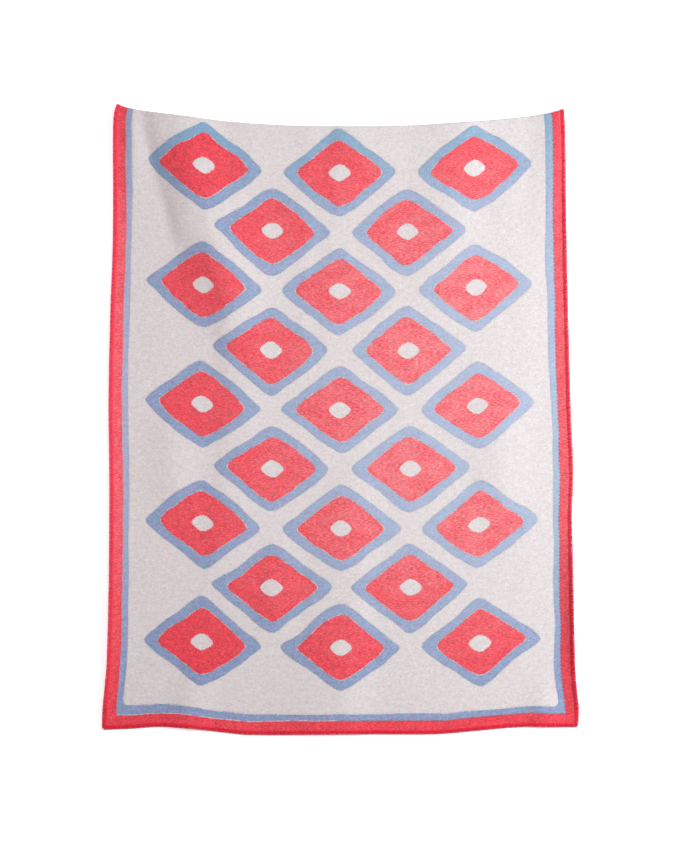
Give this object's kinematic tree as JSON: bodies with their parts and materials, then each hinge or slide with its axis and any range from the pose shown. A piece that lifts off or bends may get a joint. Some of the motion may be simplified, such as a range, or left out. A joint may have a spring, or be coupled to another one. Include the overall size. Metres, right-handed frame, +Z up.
{
  "type": "wool blanket",
  "caption": "Woven wool throw spread flat, with soft folds, a sagging head turned under along one edge and a coloured border with overlocked edges.",
  "frame": {"origin": "middle of the blanket's box, on the surface that it lies on", "axes": "+X across the cloth to the right, +Y along the cloth from the hem to the turned-under head, +Z up out of its face"},
  "size_m": [1.2958, 1.7133, 0.0257],
  "materials": {
    "brushed_wool": "brushed marled double-cloth wool, off-white with coral red and dusty blue",
    "red_wool_yarn": "crimson wool yarn of the overlocked edge"
  },
  "bodies": {
    "root": {"blanket": "brushed_wool"}
  },
  "joints": []
}
